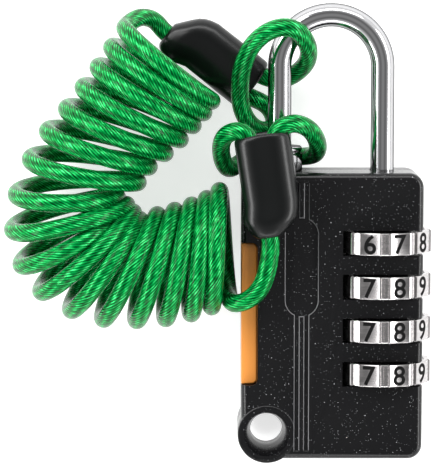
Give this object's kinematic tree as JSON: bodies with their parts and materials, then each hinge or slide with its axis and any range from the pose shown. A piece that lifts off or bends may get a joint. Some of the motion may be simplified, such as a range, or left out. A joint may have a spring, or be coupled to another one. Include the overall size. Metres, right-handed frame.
{
  "type": "combination luggage lock",
  "caption": "Combination padlock for luggage with number dials, steel shackle, side release bar, lanyard hole and a coiled sheathed cable looped on the shackle",
  "frame": {"origin": "Centre of the lock's bounding box in X and Y, without the cable, at the height of the lowest dial edge", "axes": "+X to the right and +Y toward the top of the shackle as the dials are read, +Z out of the front face; the lock lies on its back"},
  "size_m": [0.0733, 0.0784, 0.0224],
  "materials": {
    "shell_paint": "satin black paint with fine metallic speckle over die-cast zinc",
    "cover_paint": "the same black paint",
    "rivet_steel": "bright steel",
    "chrome": "polished chrome",
    "spring_steel": "bright spring steel",
    "pin_steel": "bright steel",
    "bar_plastic": "orange satin plastic",
    "plate_steel": "stamped steel",
    "dial_metal": "silver satin metal with black digits",
    "hub_brass": "turned brass",
    "sleeve_vinyl": "glossy black vinyl",
    "ferrule_aluminium": "crimped aluminium",
    "cable_pvc": "clear green vinyl over twisted steel strands"
  },
  "bodies": {
    "case": {"front_shell": "shell_paint", "back_cover": "cover_paint", "cover_rivets": "rivet_steel", "shackle_collar": "chrome", "detent_leaf": "spring_steel", "shackle_spring": "spring_steel", "bar_springs": "spring_steel", "sleeve_front": "sleeve_vinyl", "ferrule_front": "ferrule_aluminium", "sleeve_rear": "sleeve_vinyl", "ferrule_rear": "ferrule_aluminium", "cable_front_end": "cable_pvc", "cable_rear_end": "cable_pvc", "cable_coil": "cable_pvc"},
    "shackle_body": {"shackle": "chrome", "code_pins": "pin_steel"},
    "bar_body": {"release_bar": "bar_plastic", "latch_plate": "plate_steel"},
    "dial_body_1": {"dial_1": "dial_metal", "hub_1": "hub_brass"},
    "dial_body_2": {"dial_2": "dial_metal", "hub_2": "hub_brass"},
    "dial_body_3": {"dial_3": "dial_metal", "hub_3": "hub_brass"},
    "dial_body_4": {"dial_4": "dial_metal", "hub_4": "hub_brass"}
  },
  "joints": [
    {"name": "shackle_lift", "type": "slide", "parent": "case", "child": "shackle_body", "axis": [0, 1, 0], "range_m": [0, 0.0096], "deforming": ["shackle_spring"]},
    {"name": "bar_press", "type": "slide", "parent": "case", "child": "bar_body", "axis": [1, 0, 0], "range_m": [0, 0.0015], "deforming": ["bar_springs"]},
    {"name": "dial_1_spin", "type": "hinge", "parent": "case", "child": "dial_body_1", "pos_m": [0.00813, -0.0013, 0.00855], "axis": [0, 1, 0], "continuous": true},
    {"name": "dial_2_spin", "type": "hinge", "parent": "case", "child": "dial_body_2", "pos_m": [0.00813, -0.0088, 0.00855], "axis": [0, 1, 0], "continuous": true},
    {"name": "dial_3_spin", "type": "hinge", "parent": "case", "child": "dial_body_3", "pos_m": [0.00813, -0.0163, 0.00855], "axis": [0, 1, 0], "continuous": true},
    {"name": "dial_4_spin", "type": "hinge", "parent": "case", "child": "dial_body_4", "pos_m": [0.00813, -0.0238, 0.00855], "axis": [0, 1, 0], "continuous": true}
  ],
  "couplings": [
    {"joint": "bar_press", "follows": "shackle_lift", "ratio": 0.15625}
  ]
}
